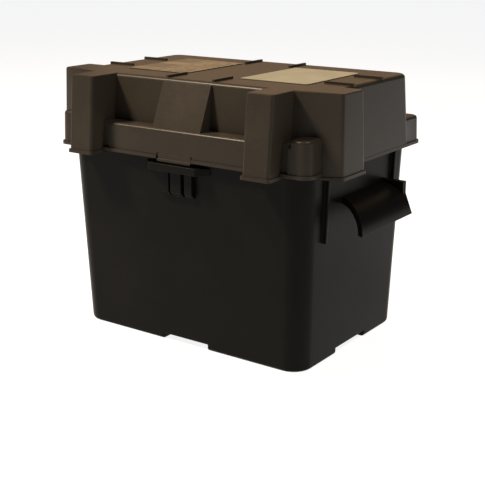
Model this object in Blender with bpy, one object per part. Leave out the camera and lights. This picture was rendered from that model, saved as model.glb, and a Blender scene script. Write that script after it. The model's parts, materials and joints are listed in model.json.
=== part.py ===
"""Snap-top battery box: a tapered tub with two grips and two catches, and a lift-off lid with two snap tabs.

Metres, +Z up. The origin is the middle of the tub's foot plane, X runs along the box and -Y is the front.
"""
import math
from dataclasses import dataclass, replace

import bmesh
import bpy
from mathutils import Matrix, Vector

MM = 0.001

# Tub
TUB_LENGTH = 272 * MM
TUB_DEPTH = 189 * MM
TUB_CORNER_RADIUS = 20 * MM
TUB_FOOT_RADIUS = 3 * MM
WALL = 3 * MM
DRAFT = 0.031
CHANNEL_WIDTH = 57 * MM
CHANNEL_HEIGHT = 6.5 * MM

# Lid
LID_BASE_Z = 191 * MM
TIER_TOP_Z = 219 * MM
LID_TOP_Z = 264 * MM
END_CLEARANCE = 1.4 * MM
FRONT_CLEARANCE = 1.2 * MM
TIER_CORNER_RADIUS = 9 * MM
TIER_REAR_EXTRA = 6 * MM
TIER_EDGE_RADIUS = 3 * MM
PLATEAU_HALF_LENGTH = TUB_LENGTH / 2 + 10.8 * MM
PLATEAU_HALF_DEPTH = TUB_DEPTH / 2 - 11.2 * MM
PLATEAU_SLOPE = 0.1
PLATEAU_FRONT_RADIUS = 24 * MM
PLATEAU_REAR_RADIUS = 12 * MM
PLATEAU_EDGE_RADIUS = 4 * MM
PILLAR_CENTRE_X = TUB_LENGTH / 2 - 31.5 * MM
PILLAR_WIDTH = 29 * MM
PILLAR_FRONT_Y = -TUB_DEPTH / 2 - 22.9 * MM
PILLAR_SLOPE = 0.09
PILLAR_DROP = 2.5 * MM
PILLAR_SINK = 12 * MM
PILLAR_EDGE_RADIUS = 3 * MM
GROOVE_WIDTH = 8 * MM
GROOVE_DEPTH = 1.8 * MM
CORNER_NEAR_X = PILLAR_CENTRE_X + PILLAR_WIDTH / 2 + 11 * MM
CORNER_TOP_Z = 224.5 * MM
CORNER_REAR_Y = -TUB_DEPTH / 2 + 14.5 * MM
POST_NEAR_X = PILLAR_CENTRE_X + PILLAR_WIDTH / 2 - 5.5 * MM
POST_FAR_X = TUB_LENGTH / 2 + 29.4 * MM
POST_NEAR_Y = -PLATEAU_HALF_DEPTH - 1.9 * MM
POST_FRONT_Y = -PLATEAU_HALF_DEPTH + 5.3 * MM
POST_REAR_Y = POST_FRONT_Y + 36 * MM
POST_SLOPE = 0.03
RAMP_WIDTH = 57 * MM
RAMP_TOP_DROP = 3 * MM
RIM_LIP = 1.3 * MM
RIM_LIP_HEIGHT = 2.6 * MM
RIM_LIP_DROP = 0.5 * MM

# Strap ribs on the lid's top
RIB_WIDTH = 2.6 * MM
RIB_HEIGHT = 2 * MM
RIB_HALF_SPACING = 27.5 * MM
RIB_SINK = 1 * MM
LONG_RIB_LENGTH = 30 * MM
LONG_RIB_INSET = 3 * MM
END_RIB_LENGTH = 31 * MM
END_RIB_OVERHANG = 0.5 * MM

# Labels
LABEL_LENGTH = 75 * MM
LABEL_DEPTH = 98 * MM
LEFT_LABEL_X = -67 * MM
RIGHT_LABEL_X = 73 * MM
LABEL_THICKNESS = 0.4 * MM
LABEL_CORNER_RADIUS = 2 * MM

# Grips
GRIP_FRONT_Y = -49 * MM
GRIP_REAR_Y = 49 * MM
GRIP_REACH = 32 * MM
GRIP_LIP_Z = 131 * MM
GRIP_HEIGHT = 29 * MM
GRIP_THICKNESS = 3 * MM
GRIP_RIM_THICKNESS = 6 * MM
GRIP_RIM_WIDTH = 3 * MM
GRIP_RIM_PROUD = 0.6 * MM
GRIP_ROOT_SWEEP = 18 * MM
BRACKET_THICKNESS = 3.5 * MM
BRACKET_TOP_Z = 163 * MM
BRACKET_FOOT_Z = 123 * MM
BRACKET_TOP_REACH = 24 * MM
BRACKET_SHOULDER_Z = 151 * MM
GRIP_ARC_STEPS = 12

# Wall ribs beside each grip
WALL_RIB_Y = 64 * MM
WALL_RIB_WIDTH = 3.5 * MM
WALL_RIB_PROUD = 4 * MM
WALL_RIB_TOP_Z = 188 * MM
WALL_RIB_FOOT_Z = 123 * MM

# Catch on the tub's front and rear walls
CATCH_BAR_LENGTH = 56 * MM
CATCH_ROOT_LENGTH = 84 * MM
CATCH_BAR_Z = (179.5 * MM, 186.5 * MM)
CATCH_BAR_DEPTH = 4.7 * MM
CATCH_ARM_WIDTH = 3.5 * MM
CATCH_FLOOR = 2 * MM
CATCH_RIB_X = (-13.5 * MM, -0.5 * MM, 14.5 * MM)
CATCH_RIB_WIDTH = (9 * MM, 13 * MM, 9 * MM)
CATCH_RIB_FOOT_Z = 154 * MM
CATCH_RIB_PROUD = 4.5 * MM

# Snap tab on the lid
TAB_WIDTH = 40 * MM
TAB_ROOT_Z = 196 * MM
TAB_LIP_Z = 188 * MM
TAB_TIP_Z = 182.3 * MM
TAB_PLATE_THICKNESS = 2.7 * MM
TONGUE_THICKNESS = 2 * MM
TONGUE_WIDTH = 34 * MM
TONGUE_SET_BACK = 1 * MM
TAB_SIDE_SLOT = 1.2 * MM
BARB_PROUD = 1 * MM
BARB_HEIGHT = 2.5 * MM
BARB_GAP = 0.3 * MM

# Clearances
SEAT_GAP = 0.3 * MM
TUB_HEIGHT = TIER_TOP_Z - WALL - SEAT_GAP
CUTTER_REACH = 20 * MM

# Colours, as linear red, green and blue
BLACK_PLASTIC = (0.022, 0.019, 0.016)
DARK_PAPER = (0.10, 0.085, 0.062)
PALE_PAPER = (0.36, 0.32, 0.25)


@dataclass(frozen=True)
class Block:
    """A tapered box between two rectangles, each given as low X, high X, low Y, high Y.

    The front's inner end, the one away from skew_end, stands forward by skew at the foot and at the top.
    """

    low_z: float
    high_z: float
    low: tuple
    high: tuple
    corner_radius: float = 0.0
    rear_corner_radius: float = 0.0
    top_radius: float = 0.0
    foot_radius: float = 0.0
    skew: tuple = (0.0, 0.0)
    skew_end: int = 1
    corner_steps: int = 3
    edge_steps: int = 2

    def rectangle(self, z):
        """The block's rectangle at a height, on the same slopes."""
        share = (z - self.low_z) / (self.high_z - self.low_z)
        return tuple(a + (b - a) * share for a, b in zip(self.low, self.high))

    def moved_foot(self, z):
        """The block with its foot at another height and the same slopes."""
        share = (z - self.low_z) / (self.high_z - self.low_z)
        foot_skew = self.skew[0] + (self.skew[1] - self.skew[0]) * share
        return replace(self, low_z=z, low=self.rectangle(z), skew=(foot_skew, self.skew[1]))

    def grown(self, amount, top=0.0):
        """The block with each side moved out by amount, and its top raised by top."""
        raised = self.high_z + top
        low = spread(self.low, amount)
        high = spread(self.rectangle(raised), amount)
        radius = max(self.corner_radius + amount, 0.0)
        rear = max(self.rear_corner_radius + amount, 0.0) if self.rear_corner_radius else 0.0
        edge = max(self.top_radius + amount, 0.0)
        return replace(self, high_z=raised, low=low, high=high, corner_radius=radius,
                       rear_corner_radius=rear, top_radius=edge)


def spread(rectangle, amount):
    """A rectangle with each side moved out by amount."""
    x0, x1, y0, y1 = rectangle
    return (x0 - amount, x1 + amount, y0 - amount, y1 + amount)


def clear_scene():
    for item in list(bpy.data.objects):
        bpy.data.objects.remove(item, do_unlink=True)
    for group in list(bpy.data.collections):
        bpy.data.collections.remove(group)


def new_collection(name):
    group = bpy.data.collections.new(name)
    bpy.context.scene.collection.children.link(group)
    return group


def new_material(name, colour, roughness):
    material = bpy.data.materials.new(name)
    material.use_nodes = True
    shader = material.node_tree.nodes["Principled BSDF"]
    shader.inputs["Base Color"].default_value = (*colour, 1.0)
    shader.inputs["Roughness"].default_value = roughness
    shader.inputs["Metallic"].default_value = 0.0
    return material


def mesh_object(name, mesh_data, group):
    mesh = bpy.data.meshes.new(name)
    mesh_data.to_mesh(mesh)
    mesh_data.free()
    item = bpy.data.objects.new(name, mesh)
    group.objects.link(item)
    return item


def round_edges(mesh_data, edges, radius, steps):
    bmesh.ops.bevel(mesh_data, geom=edges, offset=radius, segments=steps, profile=0.5,
                    affect="EDGES", clamp_overlap=True)


def upright_edges(mesh_data, side, middle_y):
    """A box's corner edges in front of middle_y (side -1) or behind it (side 1)."""
    edges = []
    for edge in mesh_data.edges:
        a, b = (vert.co for vert in edge.verts)
        if abs(a.z - b.z) > 0.5 * (a - b).length and side * (a.y - middle_y) > 0:
            edges.append(edge)
    return edges


def rim_edges(mesh_data, z):
    return [edge for edge in mesh_data.edges if all(abs(v.co.z - z) < 0.01 * MM for v in edge.verts)]


def block_mesh(block):
    """The tapered box of a block, with its rounded corners and edges, as a bmesh."""
    mesh_data = bmesh.new()
    bmesh.ops.create_cube(mesh_data, size=2.0)
    for vert in mesh_data.verts:
        top = vert.co.z > 0
        x0, x1, y0, y1 = block.high if top else block.low
        x = x1 if vert.co.x > 0 else x0
        inner = vert.co.x * block.skew_end < 0
        front = y0 - block.skew[int(top)] if inner else y0
        y = y1 if vert.co.y > 0 else front
        vert.co = Vector((x, y, block.high_z if top else block.low_z))
    if block.corner_radius > 0:
        middle_y = (block.low[2] + block.low[3]) / 2
        front_edges = upright_edges(mesh_data, -1, middle_y)
        round_edges(mesh_data, front_edges, block.corner_radius, block.corner_steps)
        rear_radius = block.rear_corner_radius or block.corner_radius
        round_edges(mesh_data, upright_edges(mesh_data, 1, middle_y), rear_radius, block.corner_steps)
    if block.top_radius > 0:
        round_edges(mesh_data, rim_edges(mesh_data, block.high_z), block.top_radius, block.edge_steps)
    if block.foot_radius > 0:
        round_edges(mesh_data, rim_edges(mesh_data, block.low_z), block.foot_radius, block.edge_steps)
    return mesh_data


def block_object(name, block, group):
    return mesh_object(name, block_mesh(block), group)


def box(x0, x1, y0, y1, z0, z1):
    """A plain upright box as a block."""
    return Block(z0, z1, (x0, x1, y0, y1), (x0, x1, y0, y1))


def profile_prism(name, points, y0, y1, group):
    """A closed XZ outline drawn out from y0 to y1."""
    mesh_data = bmesh.new()
    verts = [mesh_data.verts.new((x, y0, z)) for x, z in points]
    face = mesh_data.faces.new(verts)
    drawn = bmesh.ops.extrude_face_region(mesh_data, geom=[face])
    moved = [item for item in drawn["geom"] if isinstance(item, bmesh.types.BMVert)]
    bmesh.ops.translate(mesh_data, verts=moved, vec=(0, y1 - y0, 0))
    bmesh.ops.recalc_face_normals(mesh_data, faces=mesh_data.faces)
    return mesh_object(name, mesh_data, group)


def plan_prism(name, points, z0, z1, group):
    """A closed XY outline drawn up from z0 to z1."""
    mesh_data = bmesh.new()
    verts = [mesh_data.verts.new((x, y, z0)) for x, y in points]
    face = mesh_data.faces.new(verts)
    drawn = bmesh.ops.extrude_face_region(mesh_data, geom=[face])
    moved = [item for item in drawn["geom"] if isinstance(item, bmesh.types.BMVert)]
    bmesh.ops.translate(mesh_data, verts=moved, vec=(0, 0, z1 - z0))
    bmesh.ops.recalc_face_normals(mesh_data, faces=mesh_data.faces)
    return mesh_object(name, mesh_data, group)


def apply_boolean(target, tool, operation):
    """Joins or cuts target with tool, and removes the tool."""
    modifier = target.modifiers.new(operation.title(), "BOOLEAN")
    modifier.operation = operation
    modifier.solver = "EXACT"
    modifier.object = tool
    bpy.context.view_layer.update()
    evaluated = target.evaluated_get(bpy.context.evaluated_depsgraph_get())
    result = bpy.data.meshes.new_from_object(evaluated)
    target.modifiers.clear()
    target.data = result
    bpy.data.objects.remove(tool, do_unlink=True)


def join_all(target, tools):
    for tool in tools:
        apply_boolean(target, tool, "UNION")


def mirrored(item, name, axis, group):
    """A copy of an object mirrored in the plane through the origin across axis."""
    mesh_data = bmesh.new()
    mesh_data.from_mesh(item.data)
    scale = Vector((1, 1, 1))
    scale[axis] = -1
    mesh_data.transform(Matrix.Diagonal(scale).to_4x4())
    bmesh.ops.reverse_faces(mesh_data, faces=mesh_data.faces)
    return mesh_object(name, mesh_data, group)


def finish(item, name, material, parts):
    """Names a finished part, gives it its material and puts it in the parts' collection."""
    item.name = name
    item.data.name = name
    item.data.materials.clear()
    item.data.materials.append(material)
    item.data.shade_smooth()
    item.data.set_sharp_from_angle(angle=math.radians(35))
    for group in list(item.users_collection):
        group.objects.unlink(item)
    parts.objects.link(item)
    item.hide_render = False
    item.display_type = "SOLID"
    return item


# Tub

def tub_half(z):
    """The tub's outer half length and half depth at a height."""
    return TUB_LENGTH / 2 + DRAFT * z, TUB_DEPTH / 2 + DRAFT * z


def tub_block(low_z, high_z, grow=0.0):
    """The tub's outer form between two heights, grown by grow on its sides."""
    low_x, low_y = tub_half(low_z)
    high_x, high_y = tub_half(high_z)
    low = spread((-low_x, low_x, -low_y, low_y), grow)
    high = spread((-high_x, high_x, -high_y, high_y), grow)
    return Block(low_z, high_z, low, high, corner_radius=TUB_CORNER_RADIUS + grow, corner_steps=6)


def build_tub(material, parts, bench):
    outer = replace(tub_block(0.0, TUB_HEIGHT), foot_radius=TUB_FOOT_RADIUS)
    tub = block_object("tub_form", outer, bench)
    inner = replace(tub_block(WALL, TUB_HEIGHT + CUTTER_REACH, -WALL), foot_radius=TUB_FOOT_RADIUS)
    apply_boolean(tub, block_object("tub_inside", inner, bench), "DIFFERENCE")
    reach_x, reach_y = tub_half(WALL)
    cross_half = CHANNEL_WIDTH / 2 + WALL
    cross_top = CHANNEL_HEIGHT + WALL
    foot = WALL / 2
    overlap = WALL / 2
    bars = [
        box(-reach_x + overlap, reach_x - overlap, -cross_half, cross_half, foot, cross_top),
        box(-cross_half, cross_half, -reach_y + overlap, reach_y - overlap, foot, cross_top),
    ]
    cross = block_object("floor_cross", bars[0], bench)
    apply_boolean(cross, block_object("floor_cross_y", bars[1], bench), "UNION")
    apply_boolean(tub, cross, "UNION")
    half = CHANNEL_WIDTH / 2
    far_x = reach_x + CUTTER_REACH
    far_y = reach_y + CUTTER_REACH
    channel = block_object("channel", box(-far_x, far_x, -half, half, -CUTTER_REACH, CHANNEL_HEIGHT), bench)
    across = box(-half, half, -far_y, far_y, -CUTTER_REACH, CHANNEL_HEIGHT)
    cross_cut = block_object("channel_y", across, bench)
    apply_boolean(channel, cross_cut, "UNION")
    apply_boolean(tub, channel, "DIFFERENCE")
    join_all(tub, wall_ribs(bench))
    return finish(tub, "tub", material, parts)


def wall_ribs(bench):
    """The thin upright ribs on the end walls beside each grip."""
    ribs = []
    foot_x, _ = tub_half(WALL_RIB_FOOT_Z)
    top_x, _ = tub_half(WALL_RIB_TOP_Z)
    half = WALL_RIB_WIDTH / 2
    for side in (-1, 1):
        for end in (-1, 1):
            y = side * WALL_RIB_Y
            low = end_span(end, foot_x - WALL / 2, foot_x + WALL_RIB_PROUD)
            high = end_span(end, top_x - WALL / 2, top_x + WALL_RIB_PROUD)
            low, high = (*low, y - half, y + half), (*high, y - half, y + half)
            rib = Block(WALL_RIB_FOOT_Z, WALL_RIB_TOP_Z, low, high)
            ribs.append(block_object("wall_rib", rib, bench))
    return ribs


def end_span(end, near, far):
    """The low and high coordinate of a span on one end of the box."""
    return (near, far) if end > 0 else (-far, -near)


def tub_guard(bench):
    """A solid the size of the tub's outside and its clearance, which trims what stands against it."""
    return block_object("tub_guard", tub_block(-CUTTER_REACH, LID_TOP_Z, SEAT_GAP), bench)


# Grips

def grip_arc(radius, height, end_z):
    """An arc of the grip's hood, from the wall out to its lip at end_z, as XZ points."""
    wall_x, _ = tub_half(GRIP_LIP_Z)
    points = [(wall_x - WALL, GRIP_LIP_Z + height)]
    for step in range(GRIP_ARC_STEPS):
        angle = math.radians(90) * step / GRIP_ARC_STEPS
        points.append((wall_x + radius * math.sin(angle), GRIP_LIP_Z + height * math.cos(angle)))
    points.append((wall_x + radius, end_z))
    return points


def hood(name, thickness, proud, y0, y1, bench):
    """A length of the grip's hood, standing proud of its plain form."""
    end_z = GRIP_LIP_Z - proud
    outer = grip_arc(GRIP_REACH + proud, GRIP_HEIGHT + proud, end_z)
    inner = grip_arc(GRIP_REACH - thickness, GRIP_HEIGHT - thickness, end_z)
    return profile_prism(name, outer + inner[::-1], y0, y1, bench)


def sweep_cutter(offset, side, bench):
    """Cuts a hood in front of its slanted near edge (side 1), or behind it (side -1)."""
    wall_x, _ = tub_half(GRIP_LIP_Z)
    near = wall_x - 2 * WALL
    far = wall_x + GRIP_REACH + 2 * WALL
    slope = -GRIP_ROOT_SWEEP / GRIP_REACH
    near_y = GRIP_FRONT_Y + offset + GRIP_ROOT_SWEEP + slope * (near - wall_x)
    far_y = GRIP_FRONT_Y + offset + slope * (far - wall_x - GRIP_REACH)
    end_y = GRIP_FRONT_Y - CUTTER_REACH if side > 0 else GRIP_REAR_Y + CUTTER_REACH
    outline = [(near, near_y), (near, end_y), (far, end_y), (far, far_y)]
    return plan_prism("sweep", outline, BRACKET_FOOT_Z - CUTTER_REACH, BRACKET_TOP_Z + CUTTER_REACH, bench)


def build_grips(material, parts, bench):
    wall_x, _ = tub_half(GRIP_LIP_Z)
    front_y = GRIP_FRONT_Y - CUTTER_REACH / 2
    grip = hood("hood", GRIP_THICKNESS, 0.0, front_y, GRIP_REAR_Y, bench)
    apply_boolean(grip, sweep_cutter(0.0, 1, bench), "DIFFERENCE")
    rim = hood("rim", GRIP_RIM_THICKNESS, GRIP_RIM_PROUD, front_y, GRIP_REAR_Y, bench)
    apply_boolean(rim, sweep_cutter(-GRIP_RIM_PROUD, 1, bench), "DIFFERENCE")
    apply_boolean(rim, sweep_cutter(GRIP_RIM_WIDTH, -1, bench), "DIFFERENCE")
    lip_x = wall_x + GRIP_REACH
    outline = [
        (wall_x - WALL, BRACKET_FOOT_Z),
        (lip_x - GRIP_THICKNESS, GRIP_LIP_Z),
        (lip_x, GRIP_LIP_Z),
        (wall_x + BRACKET_TOP_REACH, BRACKET_SHOULDER_Z),
        (wall_x + BRACKET_TOP_REACH, BRACKET_TOP_Z),
        (wall_x - WALL, BRACKET_TOP_Z),
    ]
    near_y, far_y = GRIP_REAR_Y - GRIP_THICKNESS, GRIP_REAR_Y + BRACKET_THICKNESS
    bracket = profile_prism("bracket", outline, near_y, far_y, bench)
    join_all(grip, [rim, bracket])
    apply_boolean(grip, tub_guard(bench), "DIFFERENCE")
    left = mirrored(grip, "grip_left", 0, bench)
    finish(grip, "grip_right", material, parts)
    finish(left, "grip_left", material, parts)


# Catches

def catch_bar_inner_y(extra):
    """The Y of the catch bar's inner face: a gap clear of the snap tab's barb."""
    return -(tab_face_y(extra) - TONGUE_SET_BACK + BARB_PROUD + BARB_GAP)


def catch_outline(inset, front_y, back_y):
    """The catch's plan: a bar in front whose arms flare out to the wall, moved in by inset."""
    half = CATCH_BAR_LENGTH / 2 - inset
    root = CATCH_ROOT_LENGTH / 2 - inset
    return [(-half, front_y), (half, front_y), (root, back_y), (-root, back_y)]


def catch_form(name, extra, bench):
    """A catch for the front wall, whose bar stands out by extra beyond the front one's place."""
    low_z, high_z = CATCH_BAR_Z
    inner_y = catch_bar_inner_y(extra)
    outer_y = inner_y - CATCH_BAR_DEPTH
    _, foot_wall = tub_half(CATCH_RIB_FOOT_Z)
    _, bar_wall = tub_half(low_z)
    catch = plan_prism(name, catch_outline(0, outer_y, -bar_wall + WALL), low_z, high_z, bench)
    inside = catch_outline(CATCH_ARM_WIDTH, inner_y, -bar_wall + 2 * WALL)
    hollow = plan_prism("inside", inside, low_z + CATCH_FLOOR, high_z + WALL, bench)
    apply_boolean(catch, hollow, "DIFFERENCE")
    for x, width in zip(CATCH_RIB_X, CATCH_RIB_WIDTH):
        low = (x - width / 2, x + width / 2, -foot_wall - SEAT_GAP, -foot_wall + WALL)
        high = (x - width / 2, x + width / 2, -bar_wall - CATCH_RIB_PROUD, -bar_wall + WALL)
        foot = Block(CATCH_RIB_FOOT_Z, rib_shoulder_z(), low, high)
        shaft = Block(rib_shoulder_z(), low_z + CATCH_FLOOR / 2, high, high)
        join_all(catch, [block_object("catch_rib", piece, bench) for piece in (foot, shaft)])
    apply_boolean(catch, tub_guard(bench), "DIFFERENCE")
    return catch


def build_catches(material, parts, bench):
    finish(catch_form("catch", 0.0, bench), "catch_front", material, parts)
    behind = catch_form("behind", TIER_REAR_EXTRA, bench)
    finish(mirrored(behind, "catch_rear", 1, bench), "catch_rear", material, parts)
    bpy.data.objects.remove(behind, do_unlink=True)


def rib_shoulder_z():
    """The height where a catch rib's sloped foot meets its full depth."""
    return CATCH_RIB_FOOT_Z + CATCH_RIB_PROUD


# Lid

def tier_half(z):
    """The lid's outer half length and front half depth at a height, round the tub."""
    tub_x, tub_y = tub_half(TIER_TOP_Z)
    lean = DRAFT * (TIER_TOP_Z - z)
    return tub_x + END_CLEARANCE + WALL + lean, tub_y + FRONT_CLEARANCE + WALL + lean


def tier_block(top_z):
    """The lid's ledge, up to a height."""
    low_x, low_y = tier_half(LID_BASE_Z)
    high_x, high_y = tier_half(top_z)
    low = (-low_x, low_x, -low_y, low_y + TIER_REAR_EXTRA)
    high = (-high_x, high_x, -high_y, high_y + TIER_REAR_EXTRA)
    return Block(LID_BASE_Z, top_z, low, high, TIER_CORNER_RADIUS, top_radius=TIER_EDGE_RADIUS,
                 corner_steps=5, edge_steps=3)


def plateau_half(z):
    """The plateau's outer half length and half depth at a height."""
    drop = LID_TOP_Z - z
    return PLATEAU_HALF_LENGTH + DRAFT * drop, PLATEAU_HALF_DEPTH + PLATEAU_SLOPE * drop


def plateau_block():
    low_x, low_y = plateau_half(LID_BASE_Z)
    high_x, high_y = plateau_half(LID_TOP_Z)
    low = (-low_x, low_x, -low_y, low_y)
    high = (-high_x, high_x, -high_y, high_y)
    return Block(LID_BASE_Z, LID_TOP_Z, low, high, PLATEAU_FRONT_RADIUS, PLATEAU_REAR_RADIUS,
                 top_radius=PLATEAU_EDGE_RADIUS, corner_steps=5, edge_steps=3)


def pillar_block(end):
    """One of the two full-height pillars on the lid's front."""
    foot_z = LID_BASE_Z - PILLAR_DROP
    rise = PILLAR_SLOPE * (LID_TOP_Z - foot_z)
    back = -PLATEAU_HALF_DEPTH + PILLAR_SINK
    x0 = end * PILLAR_CENTRE_X - PILLAR_WIDTH / 2
    x1 = end * PILLAR_CENTRE_X + PILLAR_WIDTH / 2
    low = (x0, x1, PILLAR_FRONT_Y - rise, back)
    high = (x0, x1, PILLAR_FRONT_Y, back)
    return Block(foot_z, LID_TOP_Z, low, high, PILLAR_EDGE_RADIUS, top_radius=PILLAR_EDGE_RADIUS / 2)


def post_block(end):
    """The full-height post on one end of the lid."""
    foot_z = LID_BASE_Z - PILLAR_DROP
    height = LID_TOP_Z - foot_z
    rise = POST_SLOPE * height
    low = (*end_span(end, POST_NEAR_X, POST_FAR_X + rise), POST_FRONT_Y - rise, POST_REAR_Y + rise)
    high = (*end_span(end, POST_NEAR_X, POST_FAR_X), POST_FRONT_Y, POST_REAR_Y)
    forward = POST_FRONT_Y - POST_NEAR_Y
    skew = (forward + PLATEAU_SLOPE * height - rise, forward)
    return Block(foot_z, LID_TOP_Z, low, high, PILLAR_EDGE_RADIUS, top_radius=PILLAR_EDGE_RADIUS / 2,
                 skew=skew, skew_end=end)


def corner_piece(name, block, end, inset, bench):
    """The part of a ledge block at one front corner, its cut sides moved in by inset."""
    piece = block_object(name, block, bench)
    span = end_span(end, CORNER_NEAR_X + inset, POST_FAR_X + CUTTER_REACH)
    keep = box(*span, PILLAR_FRONT_Y - CUTTER_REACH, CORNER_REAR_Y - inset, LID_BASE_Z, LID_TOP_Z)
    apply_boolean(piece, block_object("keep", keep, bench), "INTERSECT")
    return piece


def ramp_block():
    """The sloped wedge in the middle of the lid's front."""
    foot_z = TIER_TOP_Z - WALL
    top_z = LID_TOP_Z - RAMP_TOP_DROP
    _, tier_y = tier_half(foot_z)
    _, plateau_y = plateau_half(top_z)
    half = RAMP_WIDTH / 2
    back = -plateau_y + PILLAR_SINK
    low = (-half, half, -tier_y + TIER_EDGE_RADIUS / 2, back)
    high = (-half, half, -plateau_y - WALL / 2, back)
    return Block(foot_z, top_z, low, high)


def lid_blocks():
    """The lid's outer blocks, from the widest up."""
    blocks = [tier_block(TIER_TOP_Z), plateau_block()]
    blocks += [pillar_block(end) for end in (-1, 1)]
    blocks += [post_block(end) for end in (-1, 1)]
    return blocks


def hollow_of(block):
    """The space inside one of the lid's blocks, open below."""
    low = block.moved_foot(LID_BASE_Z - CUTTER_REACH)
    return low.grown(-WALL, top=-WALL)


def lip_of(block):
    """The small lip round the foot of one of the lid's blocks."""
    top = block.low_z + RIM_LIP_HEIGHT
    band = replace(block, high_z=top, high=block.rectangle(top), top_radius=0.0)
    lip = band.moved_foot(block.low_z - RIM_LIP_DROP)
    return replace(lip, low=spread(lip.low, RIM_LIP), high=spread(lip.high, RIM_LIP))


def top_ribs():
    """The strap ribs on the lid's top: four across the long edges and four across the ends."""
    half_x, half_y = plateau_half(LID_TOP_Z)
    ribs = []
    z = (LID_TOP_Z - RIB_SINK, LID_TOP_Z + RIB_HEIGHT)
    for side in (-1, 1):
        for end in (-1, 1):
            x = end * RIB_HALF_SPACING
            span = end_span(side, half_y - LONG_RIB_INSET - LONG_RIB_LENGTH, half_y - LONG_RIB_INSET)
            ribs.append(box(x - RIB_WIDTH / 2, x + RIB_WIDTH / 2, *span, *z))
            y = side * RIB_HALF_SPACING
            far = half_x + END_RIB_OVERHANG
            span = end_span(end, far - END_RIB_LENGTH, far)
            ribs.append(box(*span, y - RIB_WIDTH / 2, y + RIB_WIDTH / 2, *z))
    return ribs


def pillar_grooves():
    """The shallow upright grooves in the ledge beside the front pillars."""
    _, top_y = tier_half(TIER_TOP_Z)
    _, foot_y = tier_half(LID_BASE_Z)
    grooves = []
    for end in (-1, 1):
        for side in (-1, 1):
            wall_x = end * PILLAR_CENTRE_X + side * PILLAR_WIDTH / 2
            x0, x1 = sorted((wall_x - side * SEAT_GAP, wall_x + side * GROOVE_WIDTH))
            reach = -(foot_y + SEAT_GAP)
            low = (x0, x1, reach, -foot_y + GROOVE_DEPTH)
            high = (x0, x1, reach, -top_y + GROOVE_DEPTH)
            grooves.append(Block(LID_BASE_Z + RIM_LIP_HEIGHT, TIER_TOP_Z + GROOVE_DEPTH, low, high))
    return grooves


def tab_slots():
    """The notches in the lid's front and rear walls where the snap tabs sit."""
    half = TAB_WIDTH / 2 + TAB_SIDE_SLOT
    _, wall_y = tier_half(LID_BASE_Z)
    slots = []
    for side, extra in ((-1, 0.0), (1, TIER_REAR_EXTRA)):
        span = end_span(side, wall_y + extra - 2 * WALL, wall_y + extra + 2 * WALL)
        slots.append(box(-half, half, *span, LID_BASE_Z - CUTTER_REACH, TAB_ROOT_Z + SEAT_GAP))
    return slots


def lid_hollow(blocks, bench):
    """Everything cut out from under the lid's blocks, as one solid."""
    hollow = block_object("lid_inside", hollow_of(blocks[0]), bench)
    join_all(hollow, [block_object("hollow", hollow_of(block), bench) for block in blocks[1:]])
    raised = hollow_of(tier_block(CORNER_TOP_Z)).grown(-SEAT_GAP)
    join_all(hollow, [corner_piece("corner_inside", raised, end, WALL, bench) for end in (-1, 1)])
    ramp = ramp_block()
    inner_ramp = replace(ramp.grown(-WALL, top=-WALL), low_z=ramp.low_z - WALL)
    join_all(hollow, [block_object("ramp_inside", inner_ramp, bench)])
    return hollow


def build_lid(material, parts, bench):
    blocks = lid_blocks()
    lid = block_object("lid_form", blocks[0], bench)
    for groove in pillar_grooves():
        apply_boolean(lid, block_object("groove", groove, bench), "DIFFERENCE")
    join_all(lid, [block_object("lid_block", block, bench) for block in blocks[1:] + [ramp_block()]])
    join_all(lid, [corner_piece("corner", tier_block(CORNER_TOP_Z), end, 0.0, bench) for end in (-1, 1)])
    join_all(lid, [block_object("lip", lip_of(block), bench) for block in (blocks[0], *blocks[2:])])
    join_all(lid, [block_object("rib", rib, bench) for rib in top_ribs()])
    apply_boolean(lid, lid_hollow(blocks, bench), "DIFFERENCE")
    for slot in tab_slots():
        apply_boolean(lid, block_object("slot", slot, bench), "DIFFERENCE")
    return finish(lid, "lid", material, parts)


# Snap tabs

def tab_face_y(extra):
    """The distance of a snap tab's outer face from the middle plane, flush with the lid's wall."""
    _, wall_y = tier_half(TAB_ROOT_Z)
    return wall_y + extra


def tab_form(name, extra, bench):
    """A snap tab for the front wall, standing out by extra beyond the front one's place."""
    face = -tab_face_y(extra)
    back = face + TAB_PLATE_THICKNESS
    half = TAB_WIDTH / 2
    tongue_face = face + TONGUE_SET_BACK
    tongue_back = tongue_face + TONGUE_THICKNESS
    tongue_half = TONGUE_WIDTH / 2
    tab = block_object(name, box(-half, half, face, back, TAB_LIP_Z, TAB_ROOT_Z), bench)
    tongue = box(-tongue_half, tongue_half, tongue_face, tongue_back, TAB_TIP_Z, TAB_LIP_Z + WALL)
    lip = box(-half, half, face - RIM_LIP, face + WALL / 2, TAB_LIP_Z, TAB_LIP_Z + RIM_LIP_HEIGHT)
    low = (-tongue_half, tongue_half, tongue_face, tongue_face + TONGUE_THICKNESS / 2)
    high = (-tongue_half, tongue_half, tongue_face - BARB_PROUD, tongue_face + TONGUE_THICKNESS / 2)
    barb = Block(TAB_TIP_Z, TAB_TIP_Z + BARB_HEIGHT, low, high)
    join_all(tab, [block_object("tab_piece", piece, bench) for piece in (tongue, lip, barb)])
    return tab


def build_tabs(material, parts, bench):
    front = tab_form("tab", 0.0, bench)
    behind = tab_form("behind", TIER_REAR_EXTRA, bench)
    rear = mirrored(behind, "tab_rear", 1, bench)
    bpy.data.objects.remove(behind, do_unlink=True)
    sides = ((front, "snap_tab_front", -1, 0.0), (rear, "snap_tab_rear", 1, TIER_REAR_EXTRA))
    for item, name, side, extra in sides:
        root_y = tab_face_y(extra) - TAB_PLATE_THICKNESS / 2
        offset = Vector((0, side * root_y, TAB_ROOT_Z))
        item.data.transform(Matrix.Translation(-offset))
        item.location = offset
        finish(item, name, material, parts)


# Labels

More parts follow.
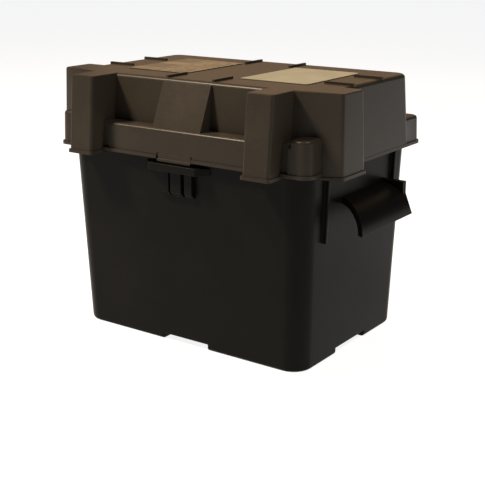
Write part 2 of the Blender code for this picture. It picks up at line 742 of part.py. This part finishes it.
def build_labels(materials, parts, bench):
    half_y = LABEL_DEPTH / 2
    half_x = LABEL_LENGTH / 2
    low_z = LID_TOP_Z + SEAT_GAP
    high_z = low_z + LABEL_THICKNESS
    places = ((LEFT_LABEL_X, "label_left", materials[0]), (RIGHT_LABEL_X, "label_right", materials[1]))
    for x, name, material in places:
        rectangle = (x - half_x, x + half_x, -half_y, half_y)
        label = Block(low_z, high_z, rectangle, rectangle, corner_radius=LABEL_CORNER_RADIUS)
        finish(block_object(name, label, bench), name, material, parts)


def main():
    clear_scene()
    parts = new_collection("battery_box")
    bench = new_collection("cutters")
    black = new_material("black_plastic", BLACK_PLASTIC, 0.42)
    lid_black = new_material("lid_plastic", BLACK_PLASTIC, 0.38)
    dark_paper = new_material("dark_label", DARK_PAPER, 0.55)
    pale_paper = new_material("pale_label", PALE_PAPER, 0.5)
    build_tub(black, parts, bench)
    build_grips(black, parts, bench)
    build_catches(black, parts, bench)
    build_lid(lid_black, parts, bench)
    build_tabs(lid_black, parts, bench)
    build_labels((dark_paper, pale_paper), parts, bench)


main()
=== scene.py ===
"""Looks of a snap-top battery box: moulded black plastic, two film labels and a pale studio.

Every length is in metres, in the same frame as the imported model.
"""
from __future__ import annotations

import json
import logging
import math
from dataclasses import dataclass, field
from enum import Enum
from typing import Any

import bmesh
import bpy
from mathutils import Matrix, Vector

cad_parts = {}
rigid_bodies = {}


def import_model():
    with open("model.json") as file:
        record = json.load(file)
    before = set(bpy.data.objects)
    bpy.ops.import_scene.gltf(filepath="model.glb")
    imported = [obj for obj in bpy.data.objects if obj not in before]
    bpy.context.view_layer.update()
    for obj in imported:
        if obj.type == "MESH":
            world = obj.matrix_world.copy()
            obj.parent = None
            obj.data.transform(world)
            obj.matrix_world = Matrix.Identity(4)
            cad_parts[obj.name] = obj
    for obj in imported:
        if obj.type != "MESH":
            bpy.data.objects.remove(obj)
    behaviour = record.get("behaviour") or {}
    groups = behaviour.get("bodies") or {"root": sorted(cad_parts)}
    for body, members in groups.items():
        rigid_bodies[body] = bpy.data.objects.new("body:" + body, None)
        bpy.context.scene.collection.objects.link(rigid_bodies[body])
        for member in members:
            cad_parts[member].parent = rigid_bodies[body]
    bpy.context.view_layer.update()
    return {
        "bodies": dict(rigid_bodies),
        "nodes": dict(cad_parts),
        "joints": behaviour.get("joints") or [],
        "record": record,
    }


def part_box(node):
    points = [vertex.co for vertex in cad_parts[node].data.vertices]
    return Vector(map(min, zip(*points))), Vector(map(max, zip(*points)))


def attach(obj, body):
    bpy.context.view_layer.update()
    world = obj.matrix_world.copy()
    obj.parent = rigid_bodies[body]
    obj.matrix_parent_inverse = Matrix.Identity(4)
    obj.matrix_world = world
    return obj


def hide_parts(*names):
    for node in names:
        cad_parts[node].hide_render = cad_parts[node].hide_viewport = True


LOG = logging.getLogger("battery_box")
MM = 0.001
WELD_DISTANCE = 0.01 * MM
FLAT_WITHIN = math.radians(0.6)
SMOOTH_BELOW = math.radians(50)
RGB = tuple[float, float, float]


class Socket:
    """A node's output socket that can be used in Python arithmetic."""

    def __init__(self, tree: "Shader", link: bpy.types.NodeSocket) -> None:
        """Wraps one output socket.

        Args:
            tree: The shader that the socket belongs to.
            link: The output socket itself.
        """
        self.tree = tree
        self.link = link

    def math(self, operation: str, *values: Any) -> "Socket":
        """Adds one Math node that starts from this socket.

        Args:
            operation: The Math node's operation.
            values: The other inputs, as numbers or sockets.

        Returns:
            The result's socket.
        """
        inputs = {index: value for index, value in enumerate((self, *values))}
        return self.tree.node("ShaderNodeMath", inputs, operation=operation)

    def __add__(self, other: Any) -> "Socket":
        """The sum of two values."""
        return self.math("ADD", other)

    def __sub__(self, other: Any) -> "Socket":
        """The difference of two values."""
        return self.math("SUBTRACT", other)

    def __rsub__(self, other: Any) -> "Socket":
        """A number less this socket."""
        return (self * -1.0).math("ADD", other)

    def __mul__(self, other: Any) -> "Socket":
        """The product of two values."""
        return self.math("MULTIPLY", other)

    def above(self, limit: float) -> "Socket":
        """1 where the value is over a limit, and 0 elsewhere."""
        return self.math("GREATER_THAN", limit)

    def smooth(self, low: float, high: float) -> "Socket":
        """A soft step from 0 at low to 1 at high."""
        inputs = {"Value": self, "From Min": low, "From Max": high}
        return self.tree.node("ShaderNodeMapRange", inputs, interpolation_type="SMOOTHSTEP")


class Shader:
    """A material under construction, whose nodes are added by one generic method."""

    def __init__(self, name: str) -> None:
        """Starts a material with its Principled shader.

        Args:
            name: The material's name.
        """
        self.material = bpy.data.materials.new(name)
        self.material.use_nodes = True
        self.nodes = self.material.node_tree.nodes
        self.links = self.material.node_tree.links
        self.surface = self.nodes["Principled BSDF"]

    def node(self, kind: str, inputs: dict[Any, Any], output: Any = 0, **settings: Any) -> Socket:
        """Adds a node, sets it up and connects it.

        Args:
            kind: The node's type name.
            inputs: Values or sockets, by input name or index.
            output: The output wanted, by name or index.
            settings: The node's own properties, which are set first.

        Returns:
            The chosen output's socket.
        """
        made = self.nodes.new(kind)
        for name, value in settings.items():
            setattr(made, name, value)
        for name, value in inputs.items():
            self.feed(made.inputs[name], value)
        return Socket(self, made.outputs[output])

    def feed(self, target: bpy.types.NodeSocket, value: Any) -> None:
        """Links a socket to an input, or writes a plain value on it.

        Args:
            target: The input socket.
            value: A Socket, a number, or a colour or vector.
        """
        if isinstance(value, Socket):
            self.links.new(value.link, target)
        elif isinstance(value, (tuple, list)) and len(value) == 3 and target.type == "RGBA":
            target.default_value = (*value, 1.0)
        else:
            target.default_value = value

    def place(self) -> Socket:
        """The point's position in the row frame."""
        return self.node("ShaderNodeTexCoord", {}, "Object")

    def noise(self, where: Socket, scale: float, detail: float = 3.0, rough: float = 0.5) -> Socket:
        """A noise value from 0 to 1 at a scale in cycles a metre."""
        inputs = {"Vector": where, "Scale": scale, "Detail": detail, "Roughness": rough}
        return self.node("ShaderNodeTexNoise", inputs, "Fac")

    def mix(self, factor: Any, first: Any, second: Any) -> Socket:
        """Blends two colours by a factor.

        Args:
            factor: 0 for the first colour, 1 for the second.
            first: A colour or socket.
            second: A colour or socket.

        Returns:
            The blended colour's socket.
        """
        made = self.nodes.new("ShaderNodeMix")
        made.data_type = "RGBA"
        self.feed(made.inputs["Factor"], factor)
        self.feed(made.inputs["A"], self.opaque(first))
        self.feed(made.inputs["B"], self.opaque(second))
        return Socket(self, next(out for out in made.outputs if out.type == "RGBA"))

    @staticmethod
    def opaque(colour: Any) -> Any:
        """A colour with its alpha added, or a socket as it is."""
        return colour if isinstance(colour, Socket) else (*colour, 1.0)

    def bump(self, height: Socket, strength: float, distance: float) -> None:
        """Feeds the surface's normal from a height.

        Args:
            height: The height, from 0 to 1.
            strength: The bump's strength.
            distance: The height of a full step, in metres.
        """
        inputs = {"Strength": strength, "Distance": distance, "Height": height}
        self.feed(self.surface.inputs["Normal"], self.node("ShaderNodeBump", inputs, "Normal"))


@dataclass(frozen=True)
class Plastic:
    """Grained moulded polypropylene with a soft sheen."""

    name: str
    colour: RGB
    worn_colour: RGB
    roughness: float
    specular: float = 0.5
    grain_scale: float = 1500.0
    grain_depth: float = 0.06 * MM
    grain_strength: float = 0.35
    cloud_scale: float = 18.0

    def material(self) -> bpy.types.Material:
        """Builds the finish's material.

        Returns:
            The material, ready for an object's slot.
        """
        shader = Shader(self.name)
        where = shader.place()
        clouds = shader.noise(where, self.cloud_scale, 4.0, 0.6)
        specks = shader.noise(where, self.grain_scale / 4, 2.0, 0.5)
        grain = shader.noise(where, self.grain_scale, 2.0, 0.55)
        streaks = shader.noise(where, self.cloud_scale * 7, 5.0, 0.7)
        wear = clouds.smooth(0.42, 0.75) * 0.55 + specks.smooth(0.52, 0.75) * 0.45
        shader.feed(shader.surface.inputs["Base Color"], shader.mix(wear, self.colour, self.worn_colour))
        rough = (clouds - 0.5) * 0.10 + (specks - 0.5) * 0.08 + (streaks - 0.5) * 0.08 + self.roughness
        shader.feed(shader.surface.inputs["Roughness"], rough)
        shader.feed(shader.surface.inputs["Specular IOR Level"], self.specular)
        shader.bump(grain * 0.7 + specks * 0.3, self.grain_strength, self.grain_depth)
        return shader.material


class Print(Enum):
    """What is printed on a label."""

    PLAIN = "plain"
    BLOCKS = "blocks"


@dataclass(frozen=True)
class Film:
    """A satin film label, plain or with a generic print of bars and blocks."""

    name: str
    colour: RGB
    faded_colour: RGB
    print_colour: RGB
    printed: Print
    roughness: float = 0.45
    rows_a_metre: float = 95.0
    words_a_metre: float = 120.0
    blocks_a_metre: float = 22.0
    block_edge: float = -75 * MM
    ink: float = 0.75
    fibre_depth: float = 0.03 * MM
    fibre_strength: float = 0.2

    def bars(self, shader: Shader, where: Socket) -> Socket:
        """The print's mask: rows of broken bars beside a block, with no lettering.

        Args:
            shader: The shader that the mask is built in.
            where: The position in the row frame.

        Returns:
            1 where there is ink, and 0 elsewhere.
        """
        split = shader.nodes.new("ShaderNodeSeparateXYZ")
        shader.feed(split.inputs[0], where)
        along = Socket(shader, split.outputs["X"])
        across = Socket(shader, split.outputs["Y"])
        rows = (across * self.rows_a_metre).math("FRACT").above(0.55)
        words = shader.noise(where, self.words_a_metre, 1.0).above(0.47)
        side = (along - self.block_edge).above(0.0)
        block = (across * self.blocks_a_metre).math("FRACT").above(0.35) * (1.0 - side)
        return rows * words * side + block * 0.8

    def material(self) -> bpy.types.Material:
        """Builds the label's material.

        Returns:
            The material, ready for an object's slot.
        """
        shader = Shader(self.name)
        where = shader.place()
        fade = shader.noise(where, 25.0, 4.0, 0.6)
        fibre = shader.noise(where, 900.0, 2.0, 0.5)
        base = shader.mix(fade.smooth(0.35, 0.7), self.colour, self.faded_colour)
        if self.printed is Print.BLOCKS:
            base = shader.mix(self.bars(shader, where) * self.ink, base, self.print_colour)
        shader.feed(shader.surface.inputs["Base Color"], base)
        shader.feed(shader.surface.inputs["Roughness"], (fade - 0.5) * 0.15 + self.roughness)
        shader.bump(fibre, self.fibre_strength, self.fibre_depth)
        return shader.material


def joined_copy(source: bpy.types.Object) -> bmesh.types.BMesh:
    """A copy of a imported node's mesh with its loose triangles merged into faces.

    Args:
        source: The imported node's object.

    Returns:
        A bmesh in the row frame.
    """
    form = bmesh.new()
    form.from_mesh(source.data)
    bmesh.ops.remove_doubles(form, verts=form.verts, dist=WELD_DISTANCE)
    bmesh.ops.dissolve_limit(form, angle_limit=FLAT_WITHIN, verts=form.verts, edges=form.edges)
    return form


def soften(form: bmesh.types.BMesh, radius: float, sharper_than: float, segments: int = 2) -> None:
    """Rounds a form's sharp edges, by no more than the form's tightest spot allows.

    That limit holds for the whole form, so the rounding can be far smaller than the radius.

    Args:
        form: The bmesh to change.
        radius: The rounding's greatest size.
        sharper_than: The least angle between two faces, in degrees, that is rounded.
        segments: The number of steps across the rounding.
    """
    limit = math.radians(sharper_than)
    edges = [edge for edge in form.edges if len(edge.link_faces) == 2 and edge.calc_face_angle(0.0) > limit]
    bmesh.ops.bevel(form, geom=edges, offset=radius, offset_type="OFFSET", segments=segments, profile=0.5,
                    affect="EDGES", clamp_overlap=True, material=-1)


def finished(name: str, form: bmesh.types.BMesh, material: bpy.types.Material) -> bpy.types.Object:
    """Turns a bmesh into a smooth-shaded object with its material.

    Args:
        name: The object's name.
        form: The bmesh, which is freed.
        material: The object's material.

    Returns:
        The object, linked to the scene.
    """
    mesh = bpy.data.meshes.new(name)
    form.to_mesh(mesh)
    form.free()
    item = bpy.data.objects.new(name, mesh)
    bpy.context.scene.collection.objects.link(item)
    mesh.materials.append(material)
    mesh.shade_smooth()
    mesh.set_sharp_from_angle(angle=SMOOTH_BELOW)
    normals = item.modifiers.new("even_normals", "WEIGHTED_NORMAL")
    normals.keep_sharp = True
    return item


class Part:
    """What every sub-assembly shares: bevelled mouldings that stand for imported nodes."""

    SHARPER_THAN = 32.0

    def __init__(self, frame: dict[str, Any]) -> None:
        """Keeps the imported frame.
        """
        self.nodes = frame["nodes"]

    def mould(self, node: str, body: str, look: bpy.types.Material, slot: str,
              radius: float) -> bpy.types.Object:
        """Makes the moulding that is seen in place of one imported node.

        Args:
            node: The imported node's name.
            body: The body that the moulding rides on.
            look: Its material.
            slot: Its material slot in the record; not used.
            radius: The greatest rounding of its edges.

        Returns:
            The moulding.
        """
        form = joined_copy(self.nodes[node])
        soften(form, radius, self.SHARPER_THAN)
        item = finished(f"{node}_moulding", form, look)
        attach(item, body)
        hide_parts(node)
        LOG.info("%s: %d faces", item.name, len(item.data.polygons))
        return item


class Tub(Part):
    """The tapered tub with its end grips and its catches."""

    BODY = "box"
    SLOT = "black_plastic"
    EDGE = 0.7 * MM
    GRIP_EDGE = 0.8 * MM
    CATCH_EDGE = 0.4 * MM

    def build(self, look: bpy.types.Material) -> list[bpy.types.Object]:
        """Builds the tub's mouldings.

        Args:
            look: The tub's plastic.

        Returns:
            The tub, the grips and the catches.
        """
        items = [self.mould("tub", self.BODY, look, self.SLOT, self.EDGE)]
        for side in ("left", "right"):
            items.append(self.mould(f"grip_{side}", self.BODY, look, self.SLOT, self.GRIP_EDGE))
        for side in ("front", "rear"):
            items.append(self.mould(f"catch_{side}", self.BODY, look, self.SLOT, self.CATCH_EDGE))
        return items


class Lid(Part):
    """The lift-off lid with its two snap tabs."""

    SLOT = "lid_plastic"
    EDGE = 0.6 * MM
    TAB_EDGE = 0.3 * MM

    def build(self, look: bpy.types.Material) -> list[bpy.types.Object]:
        """Builds the lid's mouldings.

        Args:
            look: The lid's plastic.

        Returns:
            The lid and its tabs.
        """
        items = [self.mould("lid", "lid", look, self.SLOT, self.EDGE)]
        for side in ("front", "rear"):
            items.append(self.mould(f"snap_tab_{side}", f"tab_{side}", look, self.SLOT, self.TAB_EDGE))
        return items


@dataclass
class Label:
    """One film label on the lid's top."""

    node: str
    slot: str
    film: Film
    corner: float = 2.5 * MM
    divisions: int = 6

    def build(self) -> bpy.types.Object:
        """Builds the label as a thin film with rounded corners.

        Returns:
            The label.
        """
        low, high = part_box(self.node)
        form = bmesh.new()
        bmesh.ops.create_cube(form, size=1.0)
        bmesh.ops.scale(form, vec=high - low, verts=form.verts)
        bmesh.ops.translate(form, vec=(low + high) / 2, verts=form.verts)
        upright = [edge for edge in form.edges if abs(edge.verts[0].co.z - edge.verts[1].co.z) > 0.1 * MM]
        bmesh.ops.bevel(form, geom=upright, offset=self.corner, segments=self.divisions, profile=0.5,
                        affect="EDGES", material=-1)
        item = finished(f"{self.node}_film", form, self.film.material())
        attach(item, "lid")
        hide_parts(self.node)
        LOG.info("%s: %d faces", item.name, len(item.data.polygons))
        return item


@dataclass(frozen=True)
class Softbox:
    """A rectangular studio light that looks at a point."""

    name: str
    place: tuple[float, float, float]
    aim: tuple[float, float, float]
    size: tuple[float, float]
    power: float
    colour: RGB = (1.0, 1.0, 1.0)

    def build(self) -> None:
        """Adds the light to the scene."""
        lamp = bpy.data.lights.new(self.name, "AREA")
        lamp.shape = "RECTANGLE"
        lamp.size, lamp.size_y = self.size
        lamp.energy = self.power
        lamp.color = self.colour
        item = bpy.data.objects.new(self.name, lamp)
        bpy.context.scene.collection.objects.link(item)
        item.location = self.place
        item.rotation_euler = (Vector(self.aim) - Vector(self.place)).to_track_quat("-Z", "Y").to_euler()


@dataclass
class Studio:
    """A pale floor and backdrop, soft lights and the camera."""

    camera_place: tuple[float, float, float] = (0.6001, -0.8417, 0.3934)
    camera_turn: float = 35.3111
    camera_rise: float = 16.6625
    lens: float = 76.0
    floor_half: float = 6.0
    floor_colour: RGB = (0.35, 0.35, 0.35)
    backdrop_glow: float = 1.0
    surround: RGB = (0.5, 0.55, 0.62)
    surround_strength: float = 0.07
    floor_glow: float = 0.88
    floor_roughness: float = 0.16
    lights: list[Softbox] = field(default_factory=lambda: [
        Softbox("key", (-1.0, -0.85, 1.75), (0.0, 0.0, 0.2), (0.3, 0.3), 92.0, (1.0, 0.82, 0.62)),
        Softbox("back", (-0.7, 1.9, 1.0), (0.0, 0.0, 0.25), (2.2, 0.8), 4.5, (1.0, 0.62, 0.34)),
        Softbox("end", (0.95, 0.0, 1.5), (0.16, 0.0, 0.15), (0.4, 0.4), 14.0, (1.0, 0.88, 0.74)),
    ])

    def floor(self) -> bpy.types.Object:
        """Builds the floor, which is staged and isn't part of the object.

        Returns:
            The floor.
        """
        form = bmesh.new()
        bmesh.ops.create_grid(form, x_segments=1, y_segments=1, size=self.floor_half)
        shader = Shader("pale_floor")
        shader.feed(shader.surface.inputs["Base Color"], self.floor_colour)
        shader.feed(shader.surface.inputs["Roughness"], self.floor_roughness)
        shader.feed(shader.surface.inputs["Specular IOR Level"], 1.0)
        shader.feed(shader.surface.inputs["Emission Color"], (1.0, 1.0, 1.0))
        shader.feed(shader.surface.inputs["Emission Strength"], self.floor_glow)
        mesh = bpy.data.meshes.new("floor")
        form.to_mesh(mesh)
        form.free()
        item = bpy.data.objects.new("floor", mesh)
        bpy.context.scene.collection.objects.link(item)
        mesh.materials.append(shader.material)
        return item

    def world(self) -> None:
        """Sets a dim, cool room, with a white backdrop that only the camera sees."""
        world = bpy.data.worlds.new("surround")
        bpy.context.scene.world = world
        world.use_nodes = True
        nodes, links = world.node_tree.nodes, world.node_tree.links
        room = nodes["Background"]
        room.inputs["Color"].default_value = (*self.surround, 1.0)
        room.inputs["Strength"].default_value = self.surround_strength
        white = nodes.new("ShaderNodeBackground")
        white.inputs["Color"].default_value = (1.0, 1.0, 1.0, 1.0)
        white.inputs["Strength"].default_value = self.backdrop_glow
        seen = nodes.new("ShaderNodeLightPath")
        choose = nodes.new("ShaderNodeMixShader")
        links.new(seen.outputs["Is Camera Ray"], choose.inputs["Fac"])
        links.new(room.outputs[0], choose.inputs[1])
        links.new(white.outputs[0], choose.inputs[2])
        links.new(choose.outputs[0], nodes["World Output"].inputs["Surface"])

    def camera(self) -> None:
        """Adds the camera and makes it the scene's."""
        turn, rise = math.radians(self.camera_turn), math.radians(self.camera_rise)
        away = Vector((math.sin(turn) * math.cos(rise), -math.cos(turn) * math.cos(rise), math.sin(rise)))
        eye = bpy.data.cameras.new("camera")
        eye.lens = self.lens
        eye.sensor_width = 36.0
        eye.clip_start = 0.01
        item = bpy.data.objects.new("camera", eye)
        bpy.context.scene.collection.objects.link(item)
        item.location = self.camera_place
        item.rotation_euler = away.to_track_quat("Z", "Y").to_euler()
        bpy.context.scene.camera = item

    def build(self) -> None:
        """Builds the whole studio."""
        bpy.context.scene.view_settings.view_transform = "Standard"
        self.floor()
        self.world()
        self.camera()
        for light in self.lights:
            light.build()


# Tub and lid are the same black plastic. The tub's darker base colour is painted shade, and the lid's
# lighter, warmer base colour is painted light.
TUB_PLASTIC_PAINTED_SHADE = Plastic("tub_plastic", (0.0040, 0.0038, 0.0034), (0.0058, 0.0054, 0.0048), 0.36, 0.05)
LID_PLASTIC_PAINTED_LIGHT = Plastic("lid_plastic", (0.0230, 0.0190, 0.0145), (0.0310, 0.0255, 0.0190), 0.34, 0.12)
DARK_FILM = Film("dark_film", (0.10, 0.078, 0.050), (0.145, 0.112, 0.073),
                 (0.035, 0.028, 0.020), Print.BLOCKS)
PALE_FILM = Film("pale_film", (0.185, 0.175, 0.130), (0.225, 0.212, 0.160), (0.2, 0.2, 0.2), Print.PLAIN)


def main() -> None:
    """Builds the looks in order: studio, tub, lid and labels."""
    logging.basicConfig(level=logging.INFO, format="%(name)s: %(message)s")
    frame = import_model()
    Studio().build()
    Tub(frame).build(TUB_PLASTIC_PAINTED_SHADE.material())
    Lid(frame).build(LID_PLASTIC_PAINTED_LIGHT.material())
    Label("label_left", "dark_label", DARK_FILM).build()
    Label("label_right", "pale_label", PALE_FILM).build()


if __name__ == "__main__":
    main()
